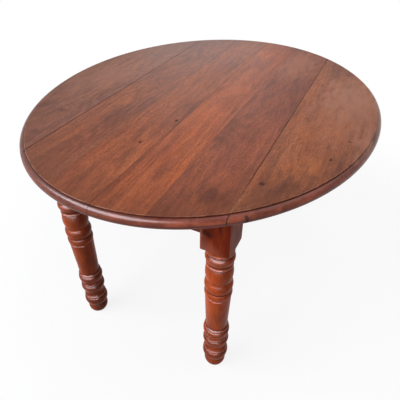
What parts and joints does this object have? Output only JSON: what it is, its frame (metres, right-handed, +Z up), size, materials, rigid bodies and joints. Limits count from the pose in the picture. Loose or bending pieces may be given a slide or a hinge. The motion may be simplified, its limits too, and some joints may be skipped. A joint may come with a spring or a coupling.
{
  "type": "drop-leaf dining table",
  "caption": "Oval drop-leaf dining table in polished walnut on turned legs, with moulded edge, leaves that fold down on back-flap hinges, and pull-out lopers that hold them up.",
  "frame": {"origin": "on the floor, under the middle of the oval top", "axes": "+Z up; +Y along the leaf joints and the long axis of the oval, towards the back end; +X towards the right leaf; leaves up at rest"},
  "size_m": [1.094, 1.322, 0.745],
  "materials": {
    "polished_top": "french-polished walnut, worn satin gloss",
    "polished_leg": "french-polished walnut, redder and glossier than the top",
    "polished_rail": "polished on the outer face, thin finish inside",
    "plain_wood": "unpolished oak-coloured secondary wood, aged",
    "peg_wood": "end grain, darkened",
    "hinge_iron": "dark wrought iron, lightly rusted",
    "screw_steel": "dull steel"
  },
  "bodies": {
    "frame": {"back_end_rail": "polished_rail", "back_left_leg": "polished_leg", "back_right_leg": "polished_leg", "front_end_rail": "polished_rail", "front_left_leg": "polished_leg", "front_right_leg": "polished_leg", "glue_blocks": "plain_wood", "left_back_hinge_fixed_flap": "hinge_iron", "left_back_hinge_pin": "screw_steel", "left_fixed_flap_screws": "screw_steel", "left_front_hinge_fixed_flap": "hinge_iron", "left_front_hinge_pin": "screw_steel", "left_inner_board": "polished_top", "left_middle_hinge_fixed_flap": "hinge_iron", "left_middle_hinge_pin": "screw_steel", "left_outer_board": "polished_top", "left_side_rail": "polished_rail", "loper_guide_rail": "plain_wood", "right_back_hinge_fixed_flap": "hinge_iron", "right_back_hinge_pin": "screw_steel", "right_fixed_flap_screws": "screw_steel", "right_front_hinge_fixed_flap": "hinge_iron", "right_front_hinge_pin": "screw_steel", "right_inner_board": "polished_top", "right_middle_hinge_fixed_flap": "hinge_iron", "right_middle_hinge_pin": "screw_steel", "right_outer_board": "polished_top", "right_side_rail": "polished_rail", "tenon_pegs": "peg_wood"},
    "left_leaf_swing": {"left_leaf": "polished_top", "left_leaf_flap_screws": "screw_steel", "left_front_hinge_leaf_flap": "hinge_iron", "left_middle_hinge_leaf_flap": "hinge_iron", "left_back_hinge_leaf_flap": "hinge_iron"},
    "right_leaf_swing": {"right_leaf": "polished_top", "right_leaf_flap_screws": "screw_steel", "right_front_hinge_leaf_flap": "hinge_iron", "right_middle_hinge_leaf_flap": "hinge_iron", "right_back_hinge_leaf_flap": "hinge_iron"},
    "left_front_loper_run": {"left_front_loper": "plain_wood", "left_front_loper_stop": "peg_wood"},
    "left_back_loper_run": {"left_back_loper": "plain_wood", "left_back_loper_stop": "peg_wood"},
    "right_front_loper_run": {"right_front_loper": "plain_wood", "right_front_loper_stop": "peg_wood"},
    "right_back_loper_run": {"right_back_loper": "plain_wood", "right_back_loper_stop": "peg_wood"}
  },
  "joints": [
    {"name": "right_leaf_hinge", "type": "hinge", "parent": "frame", "child": "right_leaf_swing", "pos_m": [0.291, 0, 0.7135], "axis": [0, 1, 0], "range_deg": [0, 90]},
    {"name": "left_leaf_hinge", "type": "hinge", "parent": "frame", "child": "left_leaf_swing", "pos_m": [-0.291, 0, 0.7135], "axis": [0, -1, 0], "range_deg": [0, 90]},
    {"name": "right_front_loper_slide", "type": "slide", "parent": "frame", "child": "right_front_loper_run", "axis": [-1, 0, 0], "range_m": [-0.19, 0]},
    {"name": "right_back_loper_slide", "type": "slide", "parent": "frame", "child": "right_back_loper_run", "axis": [-1, 0, 0], "range_m": [-0.19, 0]},
    {"name": "left_front_loper_slide", "type": "slide", "parent": "frame", "child": "left_front_loper_run", "axis": [1, 0, 0], "range_m": [-0.19, 0]},
    {"name": "left_back_loper_slide", "type": "slide", "parent": "frame", "child": "left_back_loper_run", "axis": [1, 0, 0], "range_m": [-0.19, 0]}
  ]
}
